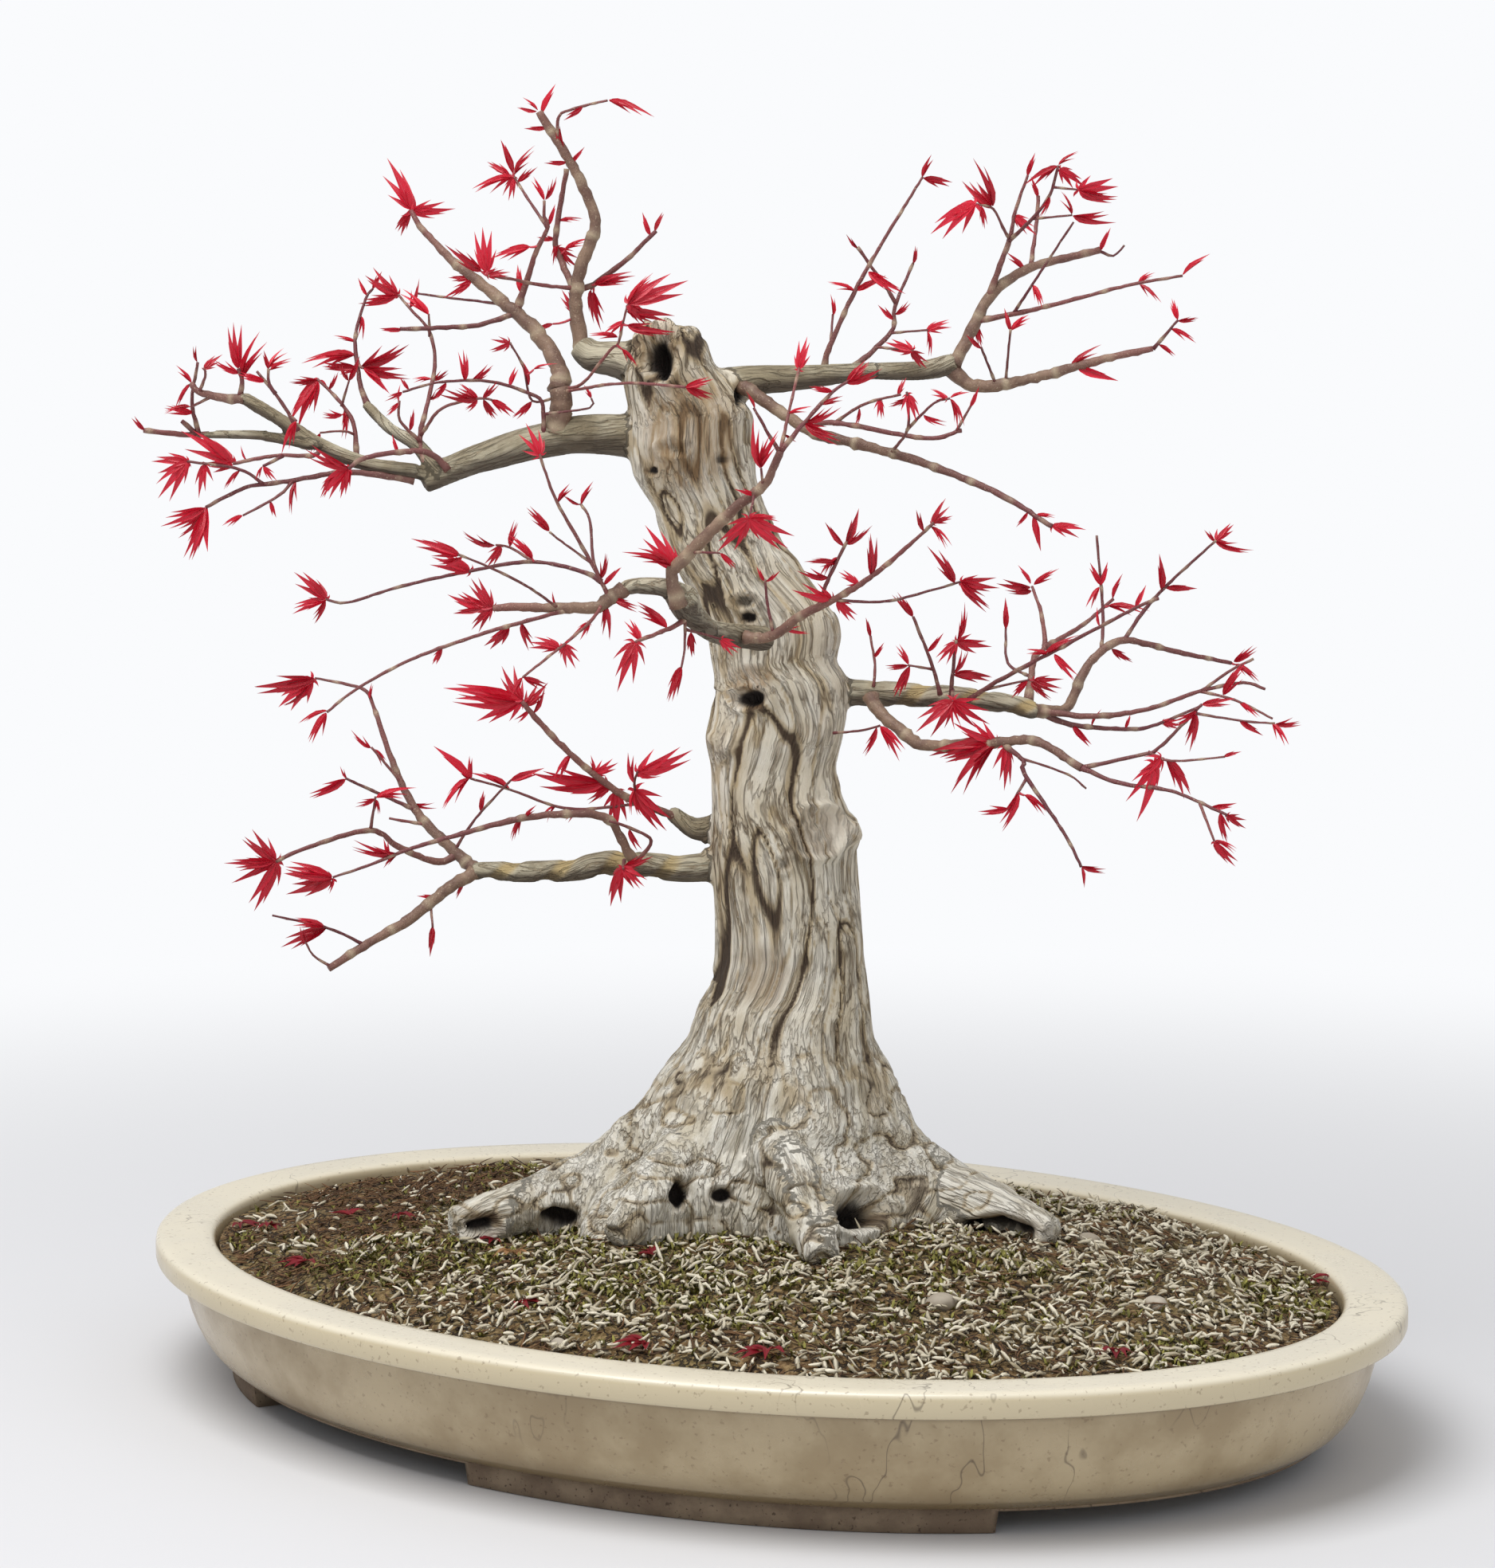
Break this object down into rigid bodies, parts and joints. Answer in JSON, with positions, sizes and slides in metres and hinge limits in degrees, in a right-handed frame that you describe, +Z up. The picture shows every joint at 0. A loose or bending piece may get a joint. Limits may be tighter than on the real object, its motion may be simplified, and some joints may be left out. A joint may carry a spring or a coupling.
{
  "type": "deshojo japanese maple bonsai in an oval pot",
  "caption": "Deshojo Japanese maple bonsai with a flared rootbase, wired limbs and crimson spring leaves, standing in mossy soil in a shallow cream oval pot on a cut foot ring.",
  "frame": {"origin": "on the surface that the pot stands on, under the middle of the pot", "axes": "+Z up, +X along the pot's long axis, -Y toward the front"},
  "size_m": [0.5, 0.368, 0.4878],
  "materials": {
    "pot_glaze": "cream glazed stoneware",
    "soil_moss": "damp soil under sphagnum and moss",
    "bark": "grey furrowed bark",
    "shoot_leaves": "crimson glossy leaves on red-brown twigs"
  },
  "bodies": {
    "root": {"pot": "pot_glaze", "soil": "soil_moss", "trunk_and_limbs": "bark", "apex_shoot": "shoot_leaves", "upper_left_crown": "shoot_leaves", "upper_left_curl": "shoot_leaves", "upper_left_riser": "shoot_leaves", "far_left_riser": "shoot_leaves", "far_left_curl": "shoot_leaves", "far_left_tip": "shoot_leaves", "far_left_tall_twig": "shoot_leaves", "far_left_grey_twigs": "shoot_leaves", "far_left_red_stem": "shoot_leaves", "left_drooping_shoot": "shoot_leaves", "left_front_red_stem": "shoot_leaves", "front_rising_shoot": "shoot_leaves", "front_left_shoot": "shoot_leaves", "front_hanging_shoot": "shoot_leaves", "front_right_shoot": "shoot_leaves", "lower_right_tip": "shoot_leaves", "lower_right_twig_a": "shoot_leaves", "lower_right_twig_b": "shoot_leaves", "lower_right_long_twig": "shoot_leaves", "lower_right_rear_riser": "shoot_leaves", "lower_right_front_pair": "shoot_leaves", "lower_right_grey_twig": "shoot_leaves", "trunk_front_pair": "shoot_leaves", "right_hanging_shoot": "shoot_leaves", "upper_right_tall_riser": "shoot_leaves", "upper_right_tip_shoot": "shoot_leaves", "upper_right_leaning_twig": "shoot_leaves", "upper_right_inner_riser": "shoot_leaves", "right_arching_shoot": "shoot_leaves", "left_descending_shoot": "shoot_leaves", "left_ascending_shoot": "shoot_leaves", "left_inner_shoot": "shoot_leaves", "left_stub_shoot": "shoot_leaves", "left_limb_front_pair": "shoot_leaves"}
  },
  "joints": []
}
